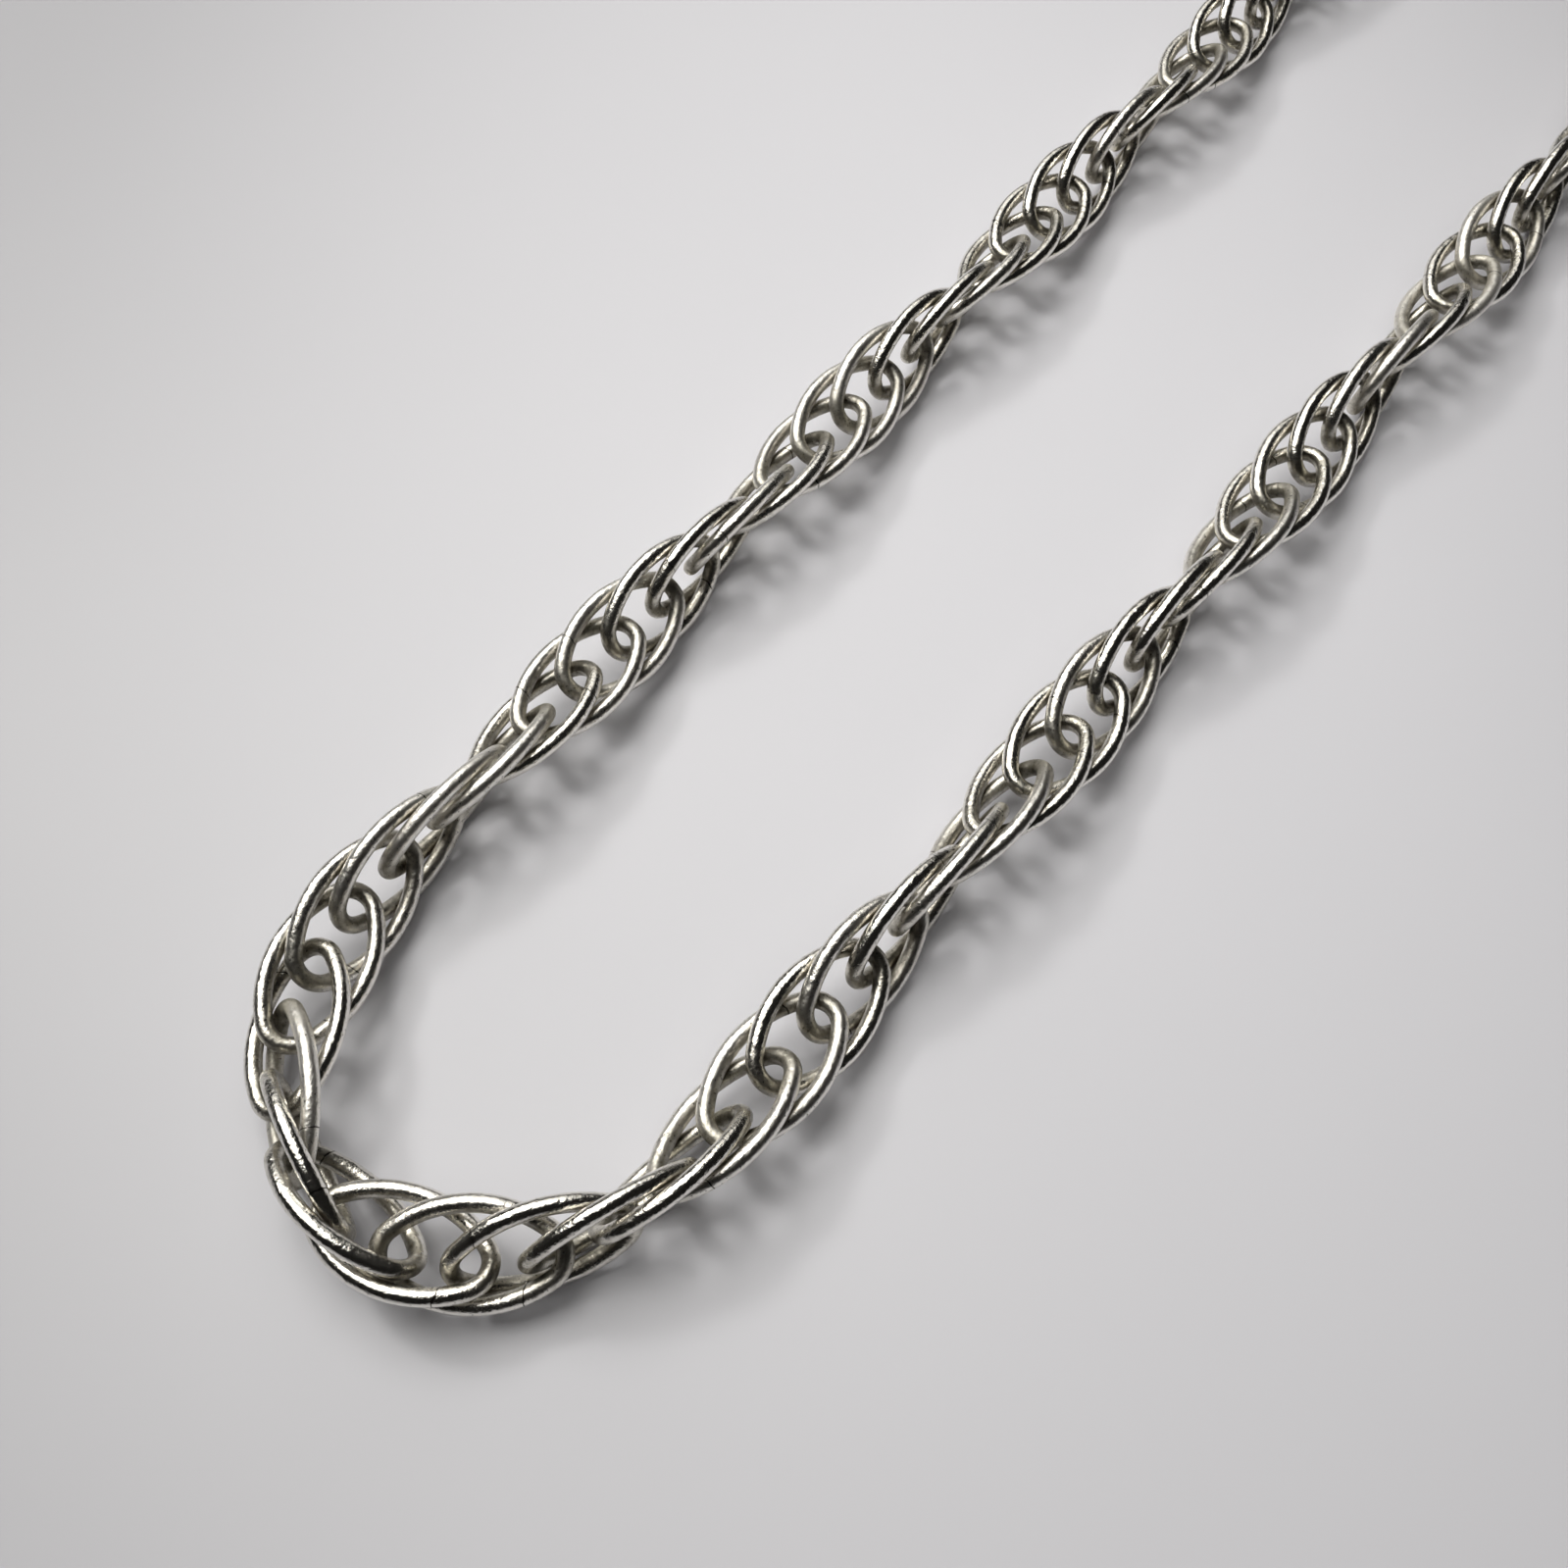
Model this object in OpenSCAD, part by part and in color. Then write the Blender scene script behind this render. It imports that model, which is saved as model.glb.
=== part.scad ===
// Spiral four-in-one chain necklace, laid out flat in a U with its clasp undone.
// Every link is a closed pointed oval of round wire. Each link is turned about the
// chain's line and moved on from the one before, and it hooks its two neighbours on
// either side. Link 0 lies at the tip of the U. Links on the right branch have
// positive numbers, and links on the left branch have negative ones.

/* [Link] */
// Width of a link across its wires
link_w = 9; // [8.96:0.01:9.1]
// Length of the gap inside a link
link_gap = 12.4; // [12.3:0.05:12.5]
// Diameter of the wire
wire_d = 1.45; // [1.3:0.05:1.45]
// Radius of a link's tips, to the middle of the wire
tip_r = 2.2; // [2.15:0.01:2.25]

/* [Weave] */
// Step along the chain from one link to the next
pitch = 5.66; // [5.62:0.01:5.7]
// Turn about the chain's line from one link to the next, right branch
twist_right = 27.1; // [27:0.1:28]
// Turn about the chain's line from one link to the next, left branch
twist_left = 28; // [27.5:0.1:28.5]
// How far link 0 is rolled about the chain's line
first_roll = 130.7; // [129:0.1:132]

/* [Bend] */
// Joints on each side of link 0 that share the bend
bend_joints = 7; // [7:1:8]
// Turn of the sharpest joint in the bend
bend_turn = 19.95; // [18.5:0.05:20]
// Step between links where the bend is sharpest
bend_pitch = 5.21; // [5.18:0.01:5.24]
// Turn about the chain's line where the bend is sharpest
bend_twist = 38.9; // [38.5:0.1:39.5]

/* [Chain] */
// Links on the right branch, beyond link 0
right_links = 40; // [36:4:44]
// Links on the left branch, beyond link 0
left_links = 36; // [32:4:40]
// Links on each side of link 0 that are nodes of their own
single_links = 20; // [16:4:20]

/* [Rings] */
// Outer diameter of the two jump rings
jump_d = 7; // [6.9:0.1:7.6]
// Wire of the jump rings
jump_wire = 1.2; // [1:0.05:1.2]
// Outer diameter of the ring that the clasp hooks
catch_d = 9; // [8.6:0.1:9.4]
// Wire of the ring that the clasp hooks
catch_wire = 1.5; // [1.3:0.05:1.5]

/* [Clasp] */
// Outer diameter of the clasp's ring
clasp_d = 13.6; // [13.2:0.1:14.4]
// Outer diameter of the clasp's tube
tube_d = 2.9; // [2.8:0.05:3]
// Wall of the clasp's tube
tube_wall = 0.3; // [0.25:0.01:0.32]
// Diameter of the bolt that slides in the tube
bolt_d = 2; // [1.8:0.05:2]
// Where the bolt's tip lies when the clasp is shut
bolt_from = 11; // [10:0.5:12]
// Length of the bolt along its arc
bolt_arc = 139; // [130:1:140]
// How far the bolt slides back when the clasp is open
bolt_travel = 60; // [50:1:60]
// Where the open gate in the tube begins
gate_from = 20; // [18:1:22]
// Where the open gate in the tube ends
gate_to = 72; // [72:1:76]
// Diameter of the thumb stud's stem
stem_d = 1.1; // [0.9:0.05:1.2]
// Outer diameter of the loop on the clasp's back
loop_d = 4.7; // [4.5:0.1:5]
// Wire of the loop on the clasp's back
loop_wire = 1.1; // [0.9:0.05:1.1]

/* [Clasp spring] */
// Diameter of the spring's wire
spring_wire = 0.34; // [0.3:0.01:0.36]
// Turns of the spring
spring_turns = 12; // [8:1:14]

/* [Clearances] */
// Gap between a ring and the wire that it hangs on
ring_play = 0.1; // [0.08:0.01:0.12]
// Gap between the thumb stud and the sides of its slot
slot_play = 0.1; // [0.08:0.01:0.15]
// How far soldered pieces sink into each other
solder_sink = 0.15; // [0.1:0.01:0.2]
// Gap between the lowest point and the surface that the necklace lies on
floor_play = 0.02; // [0.01:0.01:0.05]

/* [Hidden] */
$fn = 32;
group_links = 4;
axis_z = link_w / 2;

// The link's middle line has four arcs: two tips and two sides, tangent to each other.
half_len = (link_gap + wire_d) / 2;
half_w = (link_w - wire_d) / 2;
collar_len = 0.3;
collar_rise = 0.03;
tip_x = half_len - tip_r;
side_r = (tip_x ^ 2 + half_w ^ 2 - tip_r ^ 2) / (2 * (half_w - tip_r));
side_y = side_r - half_w;
tip_angle = atan2(side_y, tip_x);

// The bend fades out along a cosine, and its closer twist fades faster.
twist_fade = 2.5;
function share(j) = j <= bend_joints ? cos(90 * (j - 0.5) / bend_joints) : 0;
function blend(far, near, part) = far + (near - far) * part;

// Where link k lies: [x, y, heading, roll], before the whole is centred.
function station(k) = k == 0 ? [0, 0, -90, first_roll] : let(
    side = sign(k),
    last = station(k - side),
    part = share(abs(k)),
    heading = last[2] + side * bend_turn * part,
    step = side * blend(pitch, bend_pitch, part),
    twist = blend(side > 0 ? twist_right : twist_left, bend_twist, part ^ twist_fade),
    course = (last[2] + heading) / 2
) [last[0] + step * cos(course), last[1] + step * sin(course), heading, last[3] + side * twist];

stations = [for (k = [-left_links:right_links]) station(k)];
function at(k) = stations[k + left_links];

// Jump ring: it hangs in a tip of the end link, and the next ring hangs on its far side.
jump_r = (jump_d - jump_wire) / 2;
jump_at = link_gap / 2 - jump_wire / 2 - ring_play + jump_r;
hang_at = jump_at + jump_r;

// Clasp: the loop hangs on the jump ring, and the clasp's far side leans on the surface.
tube_r = tube_d / 2;
clasp_r = clasp_d / 2 - tube_r;
loop_r = (loop_d - loop_wire) / 2;
loop_from = hang_at - (jump_wire + loop_wire) / 2 - ring_play;
loop_at = loop_from + loop_r;
loop_out = clasp_r + tube_r + loop_d / 2 - solder_sink;
clasp_at = loop_at + loop_out;
clasp_lean = asin((axis_z - tube_r - floor_play) / (clasp_at + clasp_r - loop_from));
bore_d = tube_d - 2 * tube_wall;
tube_span = 360 - (gate_to - gate_from);
catch_depth = 12;
bolt_to = bolt_from + bolt_arc;
stud_at = 95;
stem_half = asin((stem_d / 2 + slot_play) / clasp_r) + 1;
stem_len = tube_r - bolt_d / 2 + 1.1;
spring_from = bolt_to + 1.5;
spring_to = 291;
stop_at = spring_to + 1.5;

// Catch ring: it hangs on the other jump ring, and its far side leans on the surface too.
catch_r = (catch_d - catch_wire) / 2;
catch_from = hang_at - (jump_wire + catch_wire) / 2 - ring_play;
catch_lean = asin((axis_z - catch_wire / 2 - floor_play) / (2 * catch_r));

// Middle of the laid necklace. A link reaches along a direction about as an ellipse does.
function reach(along, across) = norm([(half_len + wire_d / 2) * along, link_w / 2 * across]);
right_end = at(right_links);
x_low = min([for (s = stations) s[0] - reach(cos(s[2]), sin(s[2]) * cos(s[3]))]);
x_high = right_end[0] + (clasp_at + clasp_d / 2) * cos(right_end[2]);
y_low = right_end[1] + clasp_at * sin(right_end[2]) - clasp_d / 2;
y_high = max([for (s = stations) s[1] + reach(sin(s[2]), cos(s[2]) * cos(s[3]))]);
middle = [(x_low + x_high) / 2, (y_low + y_high) / 2];

function name(k) = k == 0 ? "link_middle" : str(k > 0 ? "link_right_" : "link_left_", abs(k));
function group_name(side, first) = str(side > 0 ? "links_right_" : "links_left_", first, "_to_",
    first + group_links - 1);
function group_firsts(side) = [single_links + 1:group_links:side > 0 ? right_links : left_links];

// A bar of round section bent to part of a circle about Z
module arc(r, d, from, span) {
    rotate([0, 0, from]) rotate_extrude(angle = span) translate([r, 0]) circle(d = d);
}

module wire_ring(outer_d, wire) {
    rotate_extrude($fn = 72) translate([(outer_d - wire) / 2, 0]) circle(d = wire);
}

// A link in the XY plane, its length along X. Its arcs stop just short of each other, and a
// collar a hair wider than the wire joins each pair.
module link() {
    tip_short = asin(collar_len / 8 / tip_r);
    side_short = asin(collar_len / 8 / side_r);
    for (side = [0, 180]) rotate([0, 0, side]) {
        translate([tip_x, 0, 0]) arc(tip_r, wire_d, tip_short - tip_angle, 2 * (tip_angle - tip_short));
        translate([0, -side_y, 0])
            arc(side_r, wire_d, tip_angle + side_short, 180 - 2 * (tip_angle + side_short), $fn = 120);
        for (turn = [-tip_angle, tip_angle]) translate([tip_x, 0, 0]) rotate([90, 0, turn])
            translate([tip_r, 0, 0]) cylinder(d = wire_d + collar_rise, h = collar_len, center = true);
    }
}

// Moves a child to place k, with X along the chain and Y across it
module on_chain(k) {
    s = at(k);
    translate([s[0] - middle[0], s[1] - middle[1], axis_z]) rotate([0, 0, s[2]]) children();
}

module chain_link(k) {
    color("silver") on_chain(k) rotate([at(k)[3], 0, 0]) link();
}

module link_group(side, first) {
    for (k = [first:first + group_links - 1]) chain_link(side * k);
}

// Past the right end, X points away from the chain. Past the left end it is turned to do so too.
module past_end(side) {
    on_chain(side > 0 ? right_links : -left_links) rotate([0, 0, side > 0 ? 0 : 180]) children();
}

// The jump rings stand upright in the last links' tips
module jump_ring(side) {
    color("gainsboro") past_end(side) translate([jump_at, 0, 0]) rotate([90, 0, 0]) wire_ring(jump_d, jump_wire);
}

// Moves a child past a jump ring and leans it down about the wire at hook
module hung(side, lean, hook, away) {
    past_end(side) translate([hook, 0, 0]) rotate([0, lean, 0]) translate([away - hook, 0, 0]) children();
}

module in_clasp() {
    hung(1, clasp_lean, loop_from, clasp_at) children();
}

// The tube of the clasp: bored for the bolt and its spring, open at the gate, slotted for the stud
module clasp_case() {
    color("silver") in_clasp() difference() {
        arc(clasp_r, tube_d, gate_to, tube_span, $fn = 72);
        arc(clasp_r, bore_d, gate_to - 5, stop_at - gate_to + 5, $fn = 72);
        arc(clasp_r, bore_d, gate_from - catch_depth, catch_depth + 5);
        rotate([0, 0, stud_at - stem_half]) rotate_extrude(angle = bolt_travel + 2 * stem_half, $fn = 72)
            translate([clasp_r, -stem_d / 2 - slot_play]) square([tube_d, stem_d + 2 * slot_play]);
    }
}

module clasp_bolt() {
    color("gainsboro") in_clasp() arc(clasp_r, bolt_d, bolt_from, bolt_arc, $fn = 72);
}

// Stem and round head that push the bolt back
module clasp_thumb_stud() {
    color("gainsboro") in_clasp() rotate([0, 90, stud_at]) {
        translate([0, 0, clasp_r + bolt_d / 2 - solder_sink]) cylinder(d = stem_d, h = stem_len + solder_sink);
        translate([0, 0, clasp_r + bolt_d / 2 + stem_len]) sphere(d = stem_d * 1.5);
    }
}

// Coil spring bent along the bore, between the bolt's end and the stop
module clasp_spring() {
    sides = 6;
    per_turn = 12;
    rings = spring_turns * per_turn;
    coil_r = bolt_d / 2 - spring_wire / 2;
    points = [for (i = [0:rings], j = [0:sides - 1]) let(
        turn = 360 * i / per_turn,
        place = blend(spring_from, spring_to, i / rings),
        edge = 360 * j / sides,
        out = coil_r + spring_wire / 2 * cos(edge),
        along = spring_wire / 2 * sin(edge),
        away = clasp_r + out * cos(turn)
    ) [away * cos(place) - along * sin(place), away * sin(place) + along * cos(place), out * sin(turn)]];
    skin = [for (i = [0:rings - 1], j = [0:sides - 1]) let(a = i * sides, b = a + sides, next = (j + 1) % sides)
        [a + j, a + next, b + next, b + j]];
    ends = [[for (j = [0:sides - 1]) sides - 1 - j], [for (j = [0:sides - 1]) rings * sides + j]];
    color("lightsteelblue") in_clasp() polyhedron(points, concat(skin, ends));
}

module clasp_loop() {
    color("gainsboro") hung(1, clasp_lean, loop_from, loop_at) wire_ring(loop_d, loop_wire);
}

module catch_ring() {
    color("silver") hung(-1, catch_lean, catch_from, catch_from + catch_r) wire_ring(catch_d, catch_wire);
}

for (k = [-single_links:single_links]) chain_link(k);
for (side = [-1, 1], first = group_firsts(side))
    link_group(side, first);
jump_ring(1);  // clasp_jump_ring
clasp_loop();
clasp_case();
clasp_bolt();
clasp_thumb_stud();
clasp_spring();
jump_ring(-1);  // catch_jump_ring
catch_ring();
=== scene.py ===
import math

import bmesh
import bpy
from mathutils import Matrix, Vector, noise
from mathutils.kdtree import KDTree


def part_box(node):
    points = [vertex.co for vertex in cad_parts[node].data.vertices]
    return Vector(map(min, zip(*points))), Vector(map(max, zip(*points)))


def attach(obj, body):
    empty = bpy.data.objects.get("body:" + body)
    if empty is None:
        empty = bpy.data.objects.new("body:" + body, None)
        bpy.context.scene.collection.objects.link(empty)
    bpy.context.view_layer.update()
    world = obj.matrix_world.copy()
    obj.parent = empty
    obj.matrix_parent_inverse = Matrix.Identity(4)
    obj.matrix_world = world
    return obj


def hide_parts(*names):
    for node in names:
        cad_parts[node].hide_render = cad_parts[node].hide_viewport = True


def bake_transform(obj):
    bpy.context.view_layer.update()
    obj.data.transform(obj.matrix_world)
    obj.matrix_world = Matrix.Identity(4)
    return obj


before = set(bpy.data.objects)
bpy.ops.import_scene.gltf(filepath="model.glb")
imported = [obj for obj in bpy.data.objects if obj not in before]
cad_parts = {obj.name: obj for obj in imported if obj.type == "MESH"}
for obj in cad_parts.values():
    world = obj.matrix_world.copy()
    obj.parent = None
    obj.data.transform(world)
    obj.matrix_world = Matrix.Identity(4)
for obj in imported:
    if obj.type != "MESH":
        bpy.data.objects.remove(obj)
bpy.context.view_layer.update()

# The camera stands close over the bend of the chain and looks down along its two branches.
# It is placed from the middle link, which lies at the tip of the bend. Angles are in degrees.
MM = 0.001
middle_low, middle_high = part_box("link_middle")
middle_place = (middle_low + middle_high) / 2
middle_to_lens = Vector((-1.54, -43.43, 118.0)) * MM
look_down = 61.3
look_heading = -50.84
cam_data = bpy.data.cameras.new("camera")
cam_data.lens = 36.09
cam_data.sensor_width = 36
cam_data.clip_start = 5 * MM
camera = bpy.data.objects.new("camera", cam_data)
camera.location = middle_place + middle_to_lens
camera.rotation_euler = (math.radians(90 - look_down), 0, math.radians(look_heading))
bpy.context.scene.collection.objects.link(camera)
bpy.context.scene.camera = camera
bpy.context.scene.view_settings.view_transform = "Standard"

# The chain lies on a pale grey table top: a melamine sheet with a satin finish, pressed onto a board,
# almost plain with a faint cloudy tint. Its colour darkens away from the brightest spot, in an
# ellipse, which stands in for the uneven light of a near window.
per_mm = 1 / MM
brightest_spot = middle_place + Vector((102.6, 11.3, 0)) * MM
fade_reach = (168 * MM, 273 * MM, 1)
most_dimmed = 0.4
dimming_blend = 0.3
top_reach = 1.0


def from_hex(text):
    """sRGB hex to linear colour"""
    parts = [int(text[i : i + 2], 16) / 255 for i in (1, 3, 5)]
    return [p / 12.92 if p <= 0.04045 else ((p + 0.055) / 1.055) ** 2.4 for p in parts] + [1]


def add_node(tree, kind, inputs=(), **settings):
    """Adds a shader node with its settings. Each input is linked to a socket or set to a value."""
    made = tree.nodes.new(kind)
    for name, value in settings.items():
        setattr(made, name, value)
    for name, source in dict(inputs).items():
        if isinstance(source, bpy.types.NodeSocket):
            tree.links.new(source, made.inputs[name])
        else:
            made.inputs[name].default_value = source
    return made


def new_material(name):
    """An empty material and its node tree"""
    material = bpy.data.materials.new(name)
    material.use_nodes = True
    tree = material.node_tree
    tree.nodes.clear()
    return material, tree


top_material, tree = new_material("satin grey laminate")
place = add_node(tree, "ShaderNodeTexCoord").outputs["Object"]
cloud = add_node(tree, "ShaderNodeTexNoise", {"Vector": place, "Scale": 0.018 * per_mm, "Detail": 3.0})
tint = add_node(
    tree,
    "ShaderNodeMix",
    {"Factor": cloud.outputs["Fac"], 6: from_hex("#D7D7DD"), 7: from_hex("#DBDBE1")},
    data_type="RGBA",
)
from_spot = add_node(
    tree,
    "ShaderNodeMapping",
    {
        "Vector": place,
        "Location": brightest_spot,
        "Rotation": (0, 0, math.radians(look_heading)),
        "Scale": fade_reach,
    },
    vector_type="TEXTURE",
)
far_squared = add_node(
    tree,
    "ShaderNodeVectorMath",
    {0: from_spot.outputs[0], 1: from_spot.outputs[0]},
    operation="DOT_PRODUCT",
)
dimmed = add_node(
    tree,
    "ShaderNodeMath",
    {0: far_squared.outputs["Value"], 1: most_dimmed, 2: dimming_blend},
    operation="SMOOTH_MIN",
)
shaded = add_node(
    tree,
    "ShaderNodeMix",
    {"Factor": dimmed.outputs[0], 6: tint.outputs[2], 7: from_hex("#201F20")},
    data_type="RGBA",
)
surface = add_node(tree, "ShaderNodeBsdfPrincipled", {"Base Color": shaded.outputs[2], "Roughness": 0.45})
add_node(tree, "ShaderNodeOutputMaterial", {"Surface": surface.outputs[0]})
top_shape = bmesh.new()
bmesh.ops.create_grid(top_shape, x_segments=1, y_segments=1, size=top_reach)
top_mesh = bpy.data.meshes.new("table_top")
top_shape.to_mesh(top_mesh)
top_shape.free()
top_mesh.materials.append(top_material)
table_top = bpy.data.objects.new("table_top", top_mesh)
bpy.context.scene.collection.objects.link(table_top)

# A wide window to the far left gives the main light, with a small ceiling lamp beside it and a pale
# wall straight ahead. Light from the ceiling fills the shadows and isn't mirrored in the metal. The
# room is dim, so polished metal shows dark bands, but the camera sees a pale backdrop past the table.
aim_place = middle_place + Vector((60 * MM, 0, 0))


def soft_box(name, heading, height, distance, size, watts):
    """A round area lamp aimed at the chain. Heading turns left from the camera's right."""
    data = bpy.data.lights.new(name, "AREA")
    data.shape = "DISK"
    data.size = size
    data.energy = watts
    data.color = from_hex("#FFFDF8")[:3]
    lamp = bpy.data.objects.new(name, data)
    turn = math.radians(look_heading + heading)
    rise = math.radians(height)
    away = Vector((math.cos(turn) * math.cos(rise), math.sin(turn) * math.cos(rise), math.sin(rise)))
    lamp.location = aim_place + away * distance
    lamp.rotation_euler = away.to_track_quat("Z", "Y").to_euler()
    bpy.context.scene.collection.objects.link(lamp)
    return lamp


soft_box("window", heading=132, height=62, distance=2.1, size=1.9, watts=35)
soft_box("ceiling lamp", heading=142, height=44, distance=1.65, size=0.24, watts=4.4)
soft_box("pale far wall", heading=96, height=38, distance=2.1, size=1.7, watts=7)
fill = soft_box("light from the ceiling", heading=0, height=88, distance=2.0, size=3.0, watts=12.5)
fill.visible_glossy = False
world = bpy.data.worlds.new("dim room")
world.use_nodes = True
tree = world.node_tree
tree.nodes.clear()
walls = add_node(tree, "ShaderNodeBackground", {"Color": from_hex("#D8D3CC"), "Strength": 0.012})
backdrop = add_node(tree, "ShaderNodeBackground", {"Color": from_hex("#CFCFD3"), "Strength": 1.0})
straight = add_node(tree, "ShaderNodeLightPath").outputs["Is Camera Ray"]
seen = add_node(tree, "ShaderNodeMixShader", {0: straight, 1: walls.outputs[0], 2: backdrop.outputs[0]})
add_node(tree, "ShaderNodeOutputWorld", {"Surface": seen.outputs[0]})
bpy.context.scene.world = world

# Each link is a closed oval of drawn round silver wire with tight tips. The wire was bent
# round a former and its ends soldered, and the seam still shows. Links rub bright outside and
# keep a brown tarnish where they touch, darkened there further by painted shade.
wire_r = 1.45 / 2 * MM
link_w = 9.0 * MM
link_gap = 12.4 * MM
tip_r = 2.2 * MM
half_len = link_gap / 2 + wire_r
half_w = link_w / 2 - wire_r
tip_x = half_len - tip_r
side_r = (tip_x**2 + half_w**2 - tip_r**2) / (2 * (half_w - tip_r))
side_y = side_r - half_w
tip_angle = math.atan2(side_y, tip_x)
side_angle = math.pi - 2 * tip_angle
wire_sides = 24
tip_steps = 18
side_steps = 56


def bend(shape, section, centre, angle, steps):
    """Draws the wire's section on round a centre, as wire is bent round a former"""
    made = bmesh.ops.spin(
        shape, geom=section, cent=centre, axis=(0, 0, 1), angle=angle, steps=steps, use_duplicate=False
    )
    return made["geom_last"]


link_shape = bmesh.new()
start = Vector((tip_x + tip_r * math.cos(tip_angle), -tip_r * math.sin(tip_angle), 0))
facing = Vector((math.sin(tip_angle), math.cos(tip_angle), 0)).to_track_quat("Z", "Y")
bmesh.ops.create_circle(
    link_shape,
    cap_ends=False,
    segments=wire_sides,
    radius=wire_r,
    matrix=Matrix.Translation(start) @ facing.to_matrix().to_4x4(),
)
section = link_shape.verts[:] + link_shape.edges[:]
for side in (1, -1):
    section = bend(link_shape, section, (side * tip_x, 0, 0), 2 * tip_angle, tip_steps)
    section = bend(link_shape, section, (0, -side * side_y, 0), side_angle, side_steps)
bmesh.ops.remove_doubles(link_shape, verts=link_shape.verts, dist=0.002 * MM)
bmesh.ops.recalc_face_normals(link_shape, faces=link_shape.faces)
link_mesh = bpy.data.meshes.new("link_pattern")
link_shape.to_mesh(link_mesh)
link_shape.free()

# The lay of the chain: each link passes through two before it and two after it, turned about the
# chain's line and moved on from the last. In the bend the links lie closer and turn further.
pitch = 5.66 * MM
bend_pitch = 5.21 * MM
twist_right = 27.1
twist_left = 28.0
bend_twist = 38.9
first_heading = -90.0
first_roll = 130.7
bend_joints = 7
bend_turn = 19.95
twist_fade = 2.5
right_links = 40
left_links = 36
single_links = 20
group_links = 4


def lay(side, count):
    """Places of the links from the middle one outwards on one branch, as {number: (x, y, heading, roll)}"""
    x, y, heading, roll = 0.0, 0.0, first_heading, first_roll
    laid = {0: (x, y, heading, roll)}
    for k in range(1, count + 1):
        share = math.cos(math.radians(90 * (k - 0.5) / bend_joints)) if k <= bend_joints else 0.0
        next_heading = heading + side * bend_turn * share
        course = math.radians((heading + next_heading) / 2)
        step = side * (pitch + (bend_pitch - pitch) * share)
        twist = twist_right if side > 0 else twist_left
        x += step * math.cos(course)
        y += step * math.sin(course)
        roll += side * (twist + (bend_twist - twist) * share**twist_fade)
        heading = next_heading
        laid[side * k] = (x, y, heading, roll)
    return laid


places = {**lay(-1, left_links), **lay(1, right_links)}


def link_matrix(k):
    """Takes the link pattern to the place of link k"""
    x, y, heading, roll = places[k]
    turn = Matrix.Rotation(math.radians(heading), 4, "Z") @ Matrix.Rotation(math.radians(roll), 4, "X")
    return Matrix.Translation(middle_place + Vector((x, y, 0))) @ turn


def wire_line(tip_points=12, side_points=48):
    """Points along the middle of a link's wire"""
    points = []
    for side in (1, -1):
        for i in range(tip_points):
            turn = -tip_angle + 2 * tip_angle * i / tip_points
            points.append(side * Vector((tip_x + tip_r * math.cos(turn), tip_r * math.sin(turn), 0)))
        for i in range(side_points):
            turn = tip_angle + side_angle * i / side_points
            points.append(side * Vector((side_r * math.cos(turn), side_r * math.sin(turn) - side_y, 0)))
    return points


lines = {k: [link_matrix(k) @ p for p in wire_line()] for k in places}

# Sterling silver wire, drawn, then worn: it is rubbed bright on the outside of the chain and darker,
# browner and duller towards its middle and where the wires touch. That darkening is partly tarnish and
# partly painted shade. Small pits, soft dents from bending and one solder seam mark each link. Some
# links are duller than others.
silver, tree = new_material("worn sterling silver wire")
place = add_node(tree, "ShaderNodeTexCoord").outputs["Object"]
depth = add_node(tree, "ShaderNodeAttribute", attribute_name="depth").outputs["Fac"]
touch = add_node(tree, "ShaderNodeAttribute", attribute_name="touch").outputs["Fac"]
seam = add_node(tree, "ShaderNodeAttribute", attribute_name="seam").outputs["Fac"]
dull = add_node(tree, "ShaderNodeAttribute", attribute_name="dull").outputs["Fac"]
blotch = add_node(
    tree,
    "ShaderNodeTexNoise",
    {"Vector": place, "Scale": 0.7 * per_mm, "Detail": 5.0, "Roughness": 0.7},
)
pits = add_node(
    tree,
    "ShaderNodeTexNoise",
    {"Vector": place, "Scale": 4.2 * per_mm, "Detail": 3.0, "Roughness": 0.6},
)
dents = add_node(tree, "ShaderNodeTexNoise", {"Vector": place, "Scale": 1.5 * per_mm, "Detail": 2.0})
grain = add_node(tree, "ShaderNodeTexNoise", {"Vector": place, "Scale": 9.0 * per_mm, "Detail": 2.0})

# The tarnish film, with painted shade towards the chain's middle and at contacts, goes from none to thick
# and black, in uneven patches, and contacts are stained brown
tarnish_and_shade = add_node(tree, "ShaderNodeMath", {0: depth, 1: touch}, operation="ADD")
patchy = add_node(
    tree, "ShaderNodeMapRange", {"Value": blotch.outputs["Fac"], "To Min": -0.6, "To Max": 0.45}
)
tarnish_and_shade_film = add_node(
    tree, "ShaderNodeMath", {0: tarnish_and_shade.outputs[0], 1: patchy.outputs[0]}, operation="ADD", use_clamp=True
)
metal_colour = add_node(tree, "ShaderNodeValToRGB", {"Fac": tarnish_and_shade_film.outputs[0]})
stops = metal_colour.color_ramp.elements
stops[0].color = from_hex("#F2EFE8")
stops[1].color = from_hex("#26231E")
for at, text in ((0.35, "#CFCBC0"), (0.6, "#918D81"), (0.8, "#565145")):
    stops.new(at).color = from_hex(text)
brown = add_node(
    tree, "ShaderNodeMapRange", {"Value": touch, "From Min": 0.1, "From Max": 0.6, "To Max": 0.55}
)
stained = add_node(
    tree,
    "ShaderNodeMix",
    {"Factor": brown.outputs[0], 6: metal_colour.outputs[0], 7: from_hex("#6B5738")},
    data_type="RGBA",
)

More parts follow.
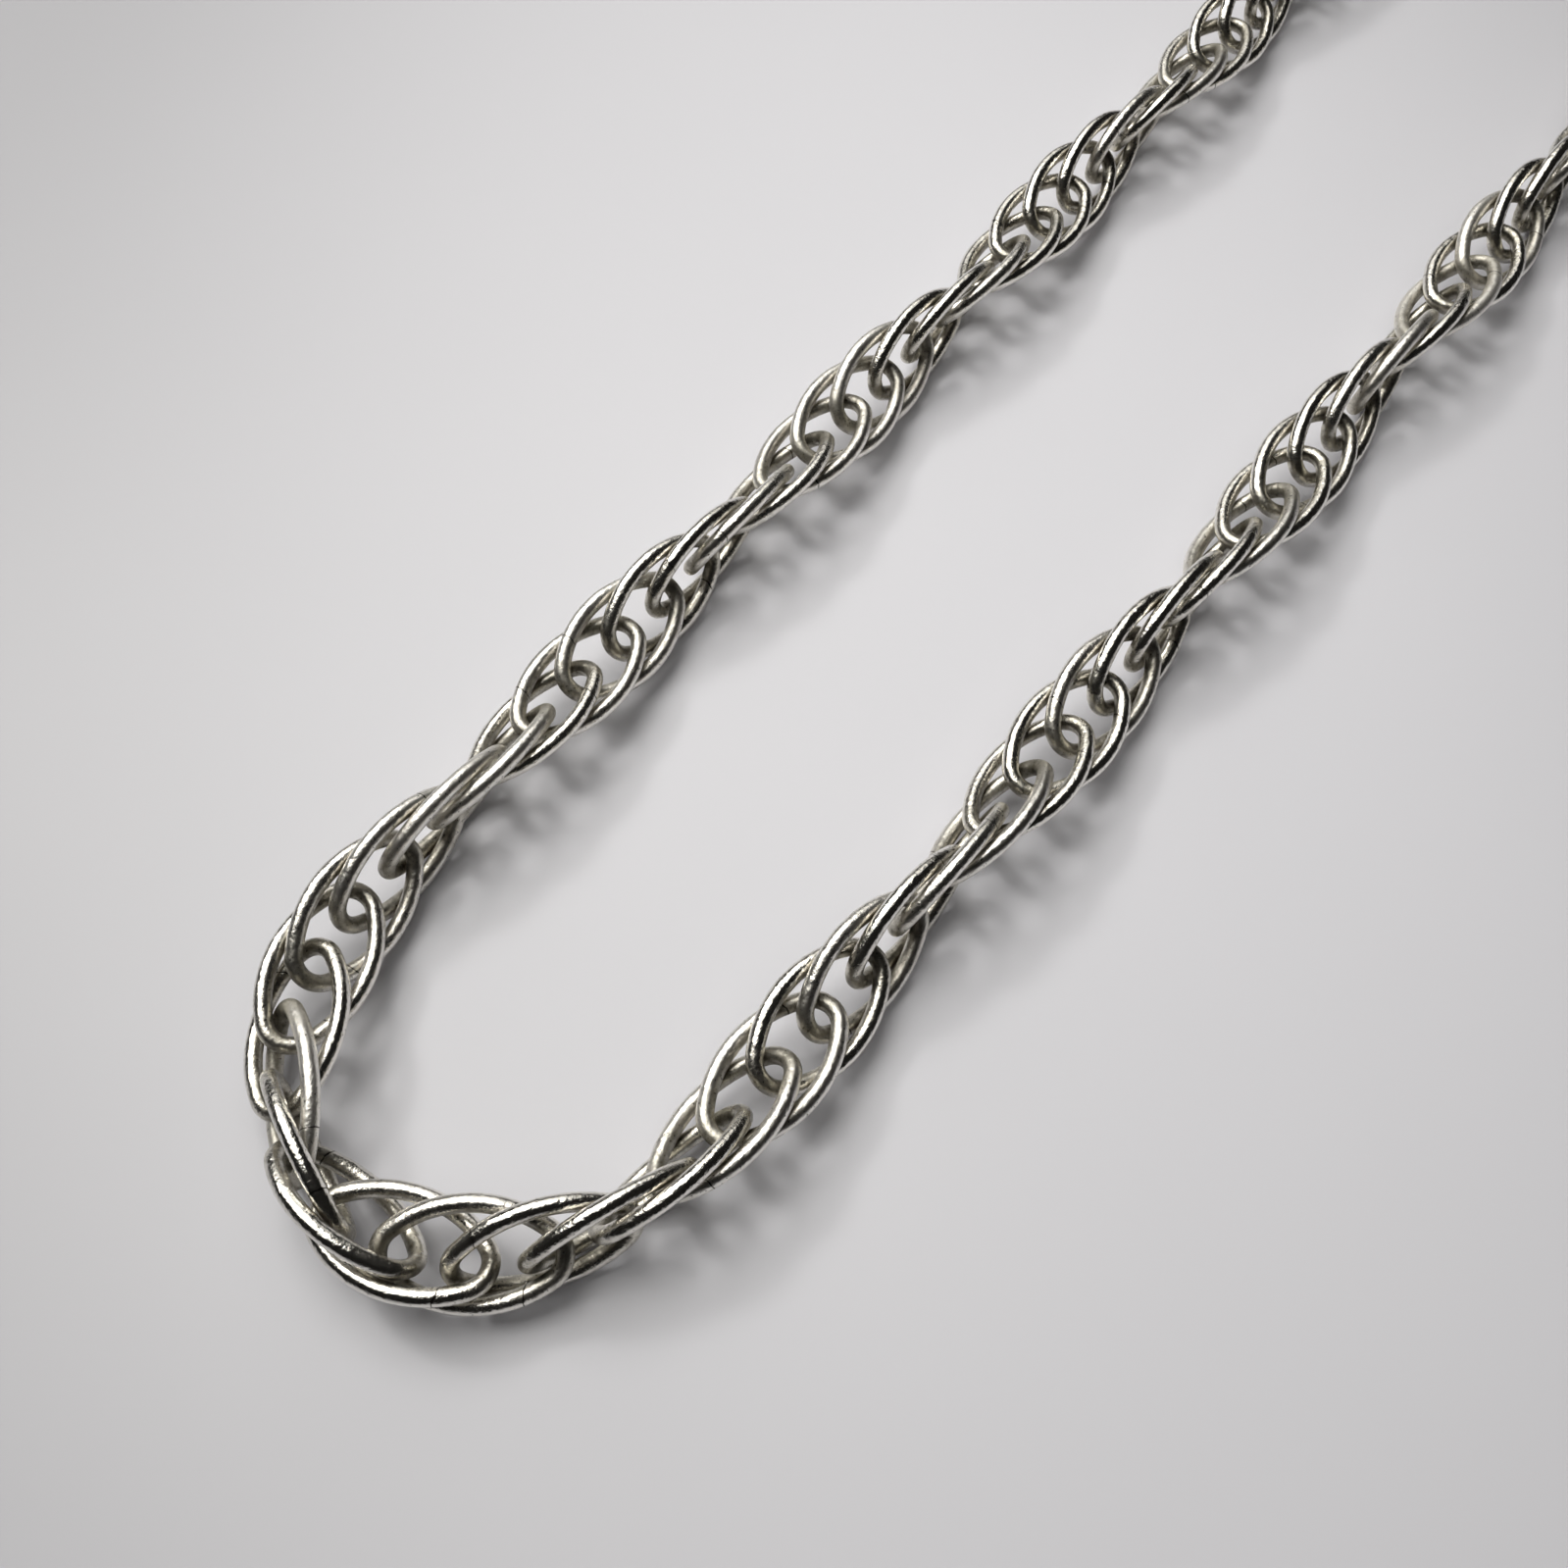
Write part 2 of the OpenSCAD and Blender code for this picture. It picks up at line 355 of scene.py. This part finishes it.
# Pits and the seam hold dark dirt, and the seam wanders a little with the dents beside it
pit_edge = add_node(
    tree, "ShaderNodeMapRange", {"Value": pits.outputs["Fac"], "From Min": 0.3, "From Max": 0.38}
)
pitted = add_node(
    tree,
    "ShaderNodeMix",
    {"Factor": pit_edge.outputs[0], 6: from_hex("#3A352C"), 7: stained.outputs[2]},
    data_type="RGBA",
)
wander = add_node(
    tree, "ShaderNodeMath", {0: dents.outputs["Fac"], 1: 0.35, 2: seam}, operation="MULTIPLY_ADD"
)
off_seam = add_node(tree, "ShaderNodeMath", {0: wander.outputs[0]}, operation="ABSOLUTE")
crack = add_node(
    tree, "ShaderNodeMapRange", {"Value": off_seam.outputs[0], "From Min": 0.02, "From Max": 0.07}
)
seamed = add_node(
    tree,
    "ShaderNodeMix",
    {"Factor": crack.outputs[0], 6: from_hex("#2A251E"), 7: pitted.outputs[2]},
    data_type="RGBA",
)
rough = add_node(tree, "ShaderNodeMath", {0: dull, 1: tarnish_and_shade_film.outputs[0]}, operation="ADD")
shine = add_node(tree, "ShaderNodeMapRange", {"Value": rough.outputs[0], "To Min": 0.17, "To Max": 0.5})
rubbed = add_node(
    tree, "ShaderNodeBump", {"Height": grain.outputs["Fac"], "Strength": 0.35, "Distance": 0.03 * MM}
)
fine = add_node(
    tree,
    "ShaderNodeBump",
    {"Height": pits.outputs["Fac"], "Normal": rubbed.outputs[0], "Strength": 0.65, "Distance": 0.04 * MM},
)
waves = add_node(
    tree,
    "ShaderNodeBump",
    {"Height": dents.outputs["Fac"], "Normal": fine.outputs[0], "Strength": 0.5, "Distance": 0.15 * MM},
)
surface = add_node(
    tree,
    "ShaderNodeBsdfPrincipled",
    {
        "Base Color": seamed.outputs[2],
        "Metallic": 1.0,
        "Roughness": shine.outputs[0],
        "Normal": waves.outputs[0],
    },
)
add_node(tree, "ShaderNodeOutputMaterial", {"Surface": surface.outputs[0]})

# Near the bend every link is its own piece. Far out, where four links share a node, they share a
# piece too. Each link has its own seam, dullness and slightly uneven wire, from bending and wear.
seam_from_middle = 4.3 * MM
seam_drift = 0.5 * MM
seam_noise_at = Vector((0, 3.7, 0))
no_seam = 9.0
dull_noise_at = Vector((0, 1.3, 7.1))
dull_noise_step = 0.83
dull_curve = 0.7
touch_most = 0.7
touch_reach = 0.8 * MM
core_depth = 0.6
core_curve = 1.3
inside_depth = 0.3
inside_curve = 1.5
unevenness = 0.014 * MM
uneven_every = 1.6 * MM


def worn_link(k):
    """Link k in its place. Its attributes are the way from its seam in mm, dullness, touch and depth."""
    shape = bmesh.new()
    shape.from_mesh(link_mesh)
    seam = shape.verts.layers.float.new("seam")
    drift = seam_drift * noise.noise(seam_noise_at + Vector((k, 0, 0)))
    seam_x = (seam_from_middle + drift) * (1 if k % 3 else -1)
    for v in shape.verts:
        v[seam] = (v.co.x - seam_x) / MM if v.co.y * seam_x > 0 else no_seam
    bmesh.ops.transform(shape, matrix=link_matrix(k), verts=shape.verts)
    dull = shape.verts.layers.float.new("dull")
    dull_here = max(0.0, noise.noise(dull_noise_at + Vector((k * dull_noise_step, 0, 0)))) ** dull_curve
    touch = shape.verts.layers.float.new("touch")
    depth = shape.verts.layers.float.new("depth")
    near = [p for n in (k - 2, k - 1, k + 1, k + 2) if n in lines for p in lines[n]]
    near_tree = KDTree(len(near))
    for i, p in enumerate(near):
        near_tree.insert(p, i)
    near_tree.balance()
    shape.normal_update()
    centre = link_matrix(k).translation
    along = link_matrix(k).col[0].xyz
    # Depth and touch darken the wire in the chain's middle and near other links: partly tarnish, partly
    # painted shade
    for v in shape.verts:
        gap = near_tree.find(v.co)[2] - wire_r
        out = v.co - centre
        out -= along * out.dot(along)
        towards_core = max(0.0, 1.0 - out.length / (link_w / 2))
        inward = max(0.0, 0.5 - 0.5 * v.normal.dot(out.normalized()))
        v[dull] = dull_here
        v[touch] = touch_most * max(0.0, 1.0 - gap / touch_reach) ** 2
        v[depth] = core_depth * towards_core**core_curve + inside_depth * inward**inside_curve
    for v in shape.verts:
        v.co += v.normal * (unevenness * noise.noise(v.co / uneven_every))
    return shape


def link_piece(node, body, numbers):
    """One piece with the node's links in their places"""
    shape = bmesh.new()
    for k in numbers:
        link = worn_link(k)
        link_part = bpy.data.meshes.new("link_part")
        link.to_mesh(link_part)
        link.free()
        shape.from_mesh(link_part)
        bpy.data.meshes.remove(link_part)
    for f in shape.faces:
        f.smooth = True
    mesh = bpy.data.meshes.new("silver_" + node)
    shape.to_mesh(mesh)
    shape.free()
    mesh.materials.append(silver)
    piece = bpy.data.objects.new("silver_" + node, mesh)
    bpy.context.scene.collection.objects.link(piece)
    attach(piece, body)
    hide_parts(node)


link_piece("link_middle", "link_middle", [0])
for side, branch, count in ((1, "right", right_links), (-1, "left", left_links)):
    for k in range(1, single_links + 1):
        link_piece(f"link_{branch}_{k}", f"link_{branch}_{k}", [side * k])
    for first in range(single_links + 1, count, group_links):
        last = first + group_links - 1
        name = f"links_{branch}_{first}_to_{last}"
        link_piece(name, name, [side * k for k in range(first, last + 1)])
bpy.data.meshes.remove(link_mesh)

# The jump rings, the catch ring and the clasp's tube, loop, bolt and thumb stud are silver, bent from
# wire and tube and polished. They are smoother than the links, with light scuffs and a thin haze.
bright, tree = new_material("scuffed polished silver")
place = add_node(tree, "ShaderNodeTexCoord").outputs["Object"]
haze = add_node(
    tree,
    "ShaderNodeTexNoise",
    {"Vector": place, "Scale": 0.9 * per_mm, "Detail": 4.0, "Roughness": 0.65},
)
scuffs = add_node(tree, "ShaderNodeTexNoise", {"Vector": place, "Scale": 5.0 * per_mm, "Detail": 3.0})
shine = add_node(tree, "ShaderNodeMapRange", {"Value": haze.outputs["Fac"], "To Min": 0.06, "To Max": 0.3})
tone = add_node(
    tree,
    "ShaderNodeMix",
    {"Factor": haze.outputs["Fac"], 6: from_hex("#EFECE5"), 7: from_hex("#CFCABF")},
    data_type="RGBA",
)
relief = add_node(
    tree, "ShaderNodeBump", {"Height": scuffs.outputs["Fac"], "Strength": 0.35, "Distance": 0.02 * MM}
)
surface = add_node(
    tree,
    "ShaderNodeBsdfPrincipled",
    {
        "Base Color": tone.outputs[2],
        "Metallic": 1.0,
        "Roughness": shine.outputs[0],
        "Normal": relief.outputs[0],
    },
)
add_node(tree, "ShaderNodeOutputMaterial", {"Surface": surface.outputs[0]})
for name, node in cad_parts.items():
    if not name.startswith("link") and name != "clasp_spring":
        node.data.materials.clear()
        node.data.materials.append(bright)

# The clasp's spring is a coil of drawn steel wire behind the bolt, inside the tube. One end rests on
# the bolt and the other on the tube. The real spring shortens along the tube when the bolt slides
# back, but this coil keeps its one shape.
steel, tree = new_material("drawn spring steel")
place = add_node(tree, "ShaderNodeTexCoord").outputs["Object"]
drawn = add_node(tree, "ShaderNodeTexNoise", {"Vector": place, "Scale": 3.0 * per_mm, "Detail": 2.0})
shine = add_node(
    tree, "ShaderNodeMapRange", {"Value": drawn.outputs["Fac"], "To Min": 0.22, "To Max": 0.38}
)
tone = add_node(
    tree,
    "ShaderNodeMix",
    {"Factor": drawn.outputs["Fac"], 6: from_hex("#B4B5B6"), 7: from_hex("#9C9EA1")},
    data_type="RGBA",
)
surface = add_node(
    tree,
    "ShaderNodeBsdfPrincipled",
    {"Base Color": tone.outputs[2], "Metallic": 1.0, "Roughness": shine.outputs[0]},
)
add_node(tree, "ShaderNodeOutputMaterial", {"Surface": surface.outputs[0]})
coil_shape = bmesh.new()
coil_shape.from_mesh(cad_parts["clasp_spring"].data)
bmesh.ops.remove_doubles(coil_shape, verts=coil_shape.verts, dist=0.001 * MM)


for f in coil_shape.faces:
    f.smooth = True
coil_mesh = bpy.data.meshes.new("steel_clasp_spring")
coil_shape.to_mesh(coil_mesh)
coil_shape.free()
coil_mesh.materials.append(steel)
coil = bpy.data.objects.new("steel_clasp_spring", coil_mesh)
bpy.context.scene.collection.objects.link(coil)
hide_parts("clasp_spring")
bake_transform(coil)
